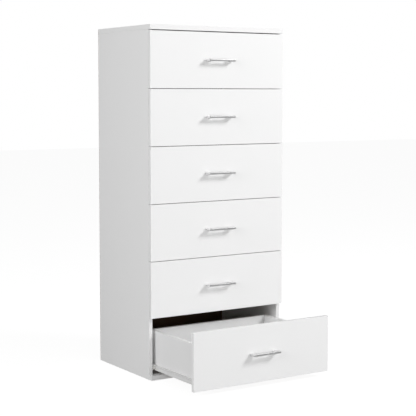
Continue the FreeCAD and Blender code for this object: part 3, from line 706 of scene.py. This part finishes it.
def make_drawer_fittings(number):
    """Both members with their screws, the screws of the drawer's back, and the front's cam locks."""
    front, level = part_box(f"drawer_{number}_front")[0].yz
    box_front = front + FRONT_THICKNESS
    box_level = level + BOX_LIFT
    corner = box_front + BOX_LENGTH - BOX_THICKNESS / 2
    bm = bmesh.new()
    for _, sign in SIDES:
        add_drawer_member(bm, sign, front, level)
        middle = sign * (BOX_SIDE - BOX_THICKNESS / 2)
        for along in FOOT_SCREWS:
            place = Vector((middle, box_front + along, box_level - STEEL_THICKNESS))
            add_screw_head(bm, place, 2, -1, SMALL_HEAD_RADIUS, HEAD_HEIGHT, 1, 2)
        for up in CORNER_SCREWS:
            place = Vector((sign * BOX_SIDE, corner, box_level + up))
            add_screw_head(bm, place, 0, sign, CORNER_HEAD_RADIUS, HEAD_HEIGHT, 1, 2)
        for up in FRONT_CAMS:
            place = Vector((sign * BOX_INSIDE, box_front + CAM_DISTANCE, box_level + up))
            add_cam(bm, place, 0, -sign, 1, 2)
    name = f"drawer_{number}_members_and_screws"
    mesh = mesh_of(name, bm, [STEEL, ZINC, RECESS_PAINTED_SHADE])
    piece_of(name, mesh, [f"drawer_{number}_fittings"])


def channel_tongue(start, low, high):
    """The flat front end of a channel's web, rounded in front and running on under the channel."""
    open_end = start + LIP_OPENING
    corners = [(start, low), (open_end, low), (open_end, high), (start, high)]
    plate = rounded_plate(corners, TONGUE_RADIUS)
    return [
        (y, z) if y < open_end - TONGUE_OVERLAP else (open_end + TONGUE_OVERLAP, z)
        for y, z in plate
    ]


def add_cabinet_member(bm, sign, start, level):
    """A channel with a lower track and an upper lip, open at the front where the roller sits."""
    half = STEEL_THICKNESS / 2
    track = level + TRACK_LEVEL - half
    lip = track + CHANNEL_HEIGHT - STEEL_THICKNESS
    web = SIDE_FACE - half
    path = [(SIDE_FACE - TRACK_WIDTH, track), (web, track), (web, lip), (SIDE_FACE - LIP_WIDTH, lip)]
    section = bent_strip(path, STEEL_THICKNESS, BEND_RADIUS)
    section = [(z, sign * x) for x, z in section]
    extruded(bm, section, 1, start + LIP_OPENING, start + RUNNER_LENGTH)
    inner, outer = sorted((sign * (SIDE_FACE - STEEL_THICKNESS), sign * SIDE_FACE))
    extruded(bm, channel_tongue(start, track - half, lip + half), 0, inner, outer)
    centre = Vector((sign * SIDE_FACE, start + FRONT_ROLLER_INSET, level + FRONT_ROLLER_LEVEL))
    reach = STEEL_THICKNESS + ROLLER_INSET + ROLLER_WIDTH + AXLE_HEAD_GAP
    add_rivet(bm, centre, 0, -sign, reach, 1)


def make_cabinet_runners():
    """The six channels of each side, and the screws that hold them."""
    screws = bmesh.new()
    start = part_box("left_side_panel")[0].y + RUNNER_SET_BACK
    for word, sign in SIDES:
        bm = bmesh.new()
        for number in DRAWERS:
            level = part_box(f"drawer_{number}_front")[0].z
            add_cabinet_member(bm, sign, start, level)
            face = sign * (SIDE_FACE - STEEL_THICKNESS)
            for along in CHANNEL_SCREWS:
                place = Vector((face, start + along, level + TRACK_LEVEL + CHANNEL_SCREW_LIFT))
                add_screw_head(screws, place, 0, -sign, SMALL_HEAD_RADIUS, HEAD_HEIGHT, 0, 1)
        mesh = mesh_of(f"{word}_channels", bm, [STEEL, ZINC])
        piece_of(f"{word}_channels", mesh, [f"{word}_cabinet_runners"])
    piece_of("channel_screws", mesh_of("channel_screws", screws, [ZINC, RECESS_PAINTED_SHADE]), ["runner_screws"])


def make_cabinet_cams():
    """The cam locks inside the side panels, near their upper and lower ends."""
    bm = bmesh.new()
    low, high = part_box("left_side_panel")
    for _, sign in SIDES:
        for y in (low.y + CABINET_CAM_ROW, high.y - CABINET_CAM_ROW):
            for z in (low.z + CAM_DISTANCE, high.z - CAM_DISTANCE):
                add_cam(bm, Vector((sign * SIDE_FACE, y, z)), 0, -sign, 0, 1)
    piece_of("cabinet_cams", mesh_of("cabinet_cams", bm, [ZINC, RECESS_PAINTED_SHADE]), ["cam_locks"])


# ----------------------------------------------------------------------------- handles

HANDLE_HALF = 50 * MM
LEG_INSIDE = 32 * MM
BAR_BACK = -16 * MM
BAR_FRONT = -23 * MM
BAR_HALF = 2.8 * MM
NOSE_END = -17 * MM
KNEE = (-12.5 * MM, -4 * MM)
FOOT_DROP = -3.6 * MM
HANDLE_BEVEL = 0.4 * MM
HANDLE_BEVEL_STEPS = 3
SCREW_SPACING = 80 * MM
SCREW_DROP = 0.5 * MM
PAN_HEAD_RADIUS = 3.8 * MM
PAN_HEAD_HEIGHT = 2.2 * MM


def add_handle(bm, front, middle):
    """A bridge handle: a bar on two legs whose underside runs down to a knee."""
    share = (BAR_BACK - NOSE_END) / (KNEE[0] - NOSE_END)
    below = (BAR_BACK, -BAR_HALF + share * (KNEE[1] + BAR_HALF))
    bar = [(BAR_BACK, BAR_HALF), (BAR_FRONT, BAR_HALF), (BAR_FRONT, -BAR_HALF),
           (NOSE_END, -BAR_HALF), below]
    outline = [(0, BAR_HALF)] + bar + [KNEE, (0, FOOT_DROP)]
    stations = (-HANDLE_HALF, -LEG_INSIDE, LEG_INSIDE, HANDLE_HALF)
    rows = [[bm.verts.new((x, front + y, middle + z)) for y, z in outline] for x in stations]

    def join(first, second, order):
        for one, two in zip(order, order[1:] + order[:1]):
            bm.faces.new((first[one], first[two], second[two], second[one]))

    around = list(range(len(outline)))
    bar_corners = around[1:1 + len(bar)]
    leg_corners = [corner for corner in around if corner not in bar_corners[1:-1]]
    join(rows[0], rows[1], around)
    join(rows[2], rows[3], around)
    join(rows[1], rows[2], bar_corners)
    for row, corners in zip(rows, (around, leg_corners, leg_corners, around)):
        bm.faces.new([row[corner] for corner in corners])
    bmesh.ops.recalc_face_normals(bm, faces=bm.faces)
    sharp = [edge for edge in bm.edges if edge.calc_face_angle(0) > SMOOTH_LIMIT / 2]
    bmesh.ops.bevel(bm, geom=sharp, offset=HANDLE_BEVEL, segments=HANDLE_BEVEL_STEPS,
                    profile=ROUND_PROFILE, affect="EDGES", clamp_overlap=False)


def make_handle(number):
    """One handle, and the two screws that hold it from inside the drawer."""
    low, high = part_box(f"drawer_{number}_front")
    middle = (low.z + high.z) / 2
    bm = bmesh.new()
    add_handle(bm, low.y, middle)
    for _, sign in SIDES:
        place = Vector((sign * SCREW_SPACING / 2, low.y + FRONT_THICKNESS, middle - SCREW_DROP))
        add_screw_head(bm, place, 1, 1, PAN_HEAD_RADIUS, PAN_HEAD_HEIGHT, 1, 2)
    name = f"drawer_{number}_grip"
    piece_of(name, mesh_of(name, bm, [HANDLE_METAL, ZINC, RECESS_PAINTED_SHADE]), [f"drawer_{number}_handle"])


make_cabinet_runners()
make_cabinet_cams()
for drawer_number in DRAWERS:
    make_drawer_fittings(drawer_number)
    make_handle(drawer_number)

# ----------------------------------------------------------------------------- light and floor

AIM = Vector((0, -0.1, 0.55))
LIGHTS = {
    "key": {"place": (2.6, -2.6, 2.85), "size": 1.4, "power": 111},
    "fill": {"place": (-3.5, -1.15, 1.5), "size": 2.0, "power": 66},
    "low_right": {"place": (1.6, -3.2, 0.4), "size": 1.2, "power": 21, "shines": False},
    "low_left": {"place": (-1.3, -3.2, 0.35), "size": 1.2, "power": 19},
}
SKY = 0.235
FLOOR_GLOW = 0.19
FLOOR_TONE = 0.2
SEEN_FLOOR_GLOW = 0.93
SEEN_FLOOR_TONE = 0.15
FLOOR_REACH = 14


def add_area_light(name, place, size, power, shines=True):
    """A round soft box aimed at the chest; one that doesn't shine leaves no highlight on metal."""
    data = bpy.data.lights.new(name, "AREA")
    data.shape = "DISK"
    data.size = size
    data.energy = power
    light = bpy.data.objects.new(name, data)
    light.location = place
    light.visible_glossy = shines
    light.rotation_euler = (AIM - Vector(place)).to_track_quat("-Z", "Y").to_euler()
    scene.collection.objects.link(light)


def add_world(strength):
    """Even white light from all round; the camera sees plain white."""
    world = bpy.data.worlds.new("studio")
    world.use_nodes = True
    nodes = world.node_tree.nodes
    links = world.node_tree.links
    background = nodes["Background"]
    background.inputs["Color"].default_value = WHITE
    background.inputs["Strength"].default_value = strength
    white = nodes.new("ShaderNodeBackground")
    white.inputs["Strength"].default_value = 1.0
    white.inputs["Color"].default_value = WHITE
    path = nodes.new("ShaderNodeLightPath")
    mix = nodes.new("ShaderNodeMixShader")
    links.new(path.outputs["Is Camera Ray"], mix.inputs["Fac"])
    links.new(background.outputs["Background"], mix.inputs[1])
    links.new(white.outputs["Background"], mix.inputs[2])
    links.new(mix.outputs["Shader"], nodes["World Output"].inputs["Surface"])
    scene.world = world


def floor_shader(tree, tone, glow):
    """Matt paint that glows a little."""
    shader = tree.nodes.new("ShaderNodeBsdfPrincipled")
    shader.inputs["Base Color"].default_value = (tone, tone, tone, 1)
    shader.inputs["Roughness"].default_value = 1.0
    shader.inputs["Specular IOR Level"].default_value = 0.0
    shader.inputs["Emission Color"].default_value = WHITE
    shader.inputs["Emission Strength"].default_value = glow
    return shader.outputs["BSDF"]


def add_floor():
    """A plain studio floor: it looks white, and lights the chest only as much as grey paper would."""
    mesh = bpy.data.meshes.new("floor")
    signs = ((-1, -1), (1, -1), (1, 1), (-1, 1))
    corners = [(x * FLOOR_REACH, y * FLOOR_REACH, 0) for x, y in signs]
    mesh.from_pydata(corners, [], [(0, 1, 2, 3)])
    floor = bpy.data.objects.new("floor", mesh)
    scene.collection.objects.link(floor)
    material, tree, shader = new_material("pale_floor")
    tree.nodes.remove(shader)
    path = tree.nodes.new("ShaderNodeLightPath")
    mix = tree.nodes.new("ShaderNodeMixShader")
    tree.links.new(path.outputs["Is Camera Ray"], mix.inputs["Fac"])
    tree.links.new(floor_shader(tree, FLOOR_TONE, FLOOR_GLOW), mix.inputs[1])
    tree.links.new(floor_shader(tree, SEEN_FLOOR_TONE, SEEN_FLOOR_GLOW), mix.inputs[2])
    tree.links.new(mix.outputs["Shader"], tree.nodes["Material Output"].inputs["Surface"])
    mesh.materials.append(material)


for light_name, light in LIGHTS.items():
    add_area_light(light_name, **light)
add_world(SKY)
add_floor()
scene.view_settings.view_transform = "Standard"
scene.view_settings.look = "None"
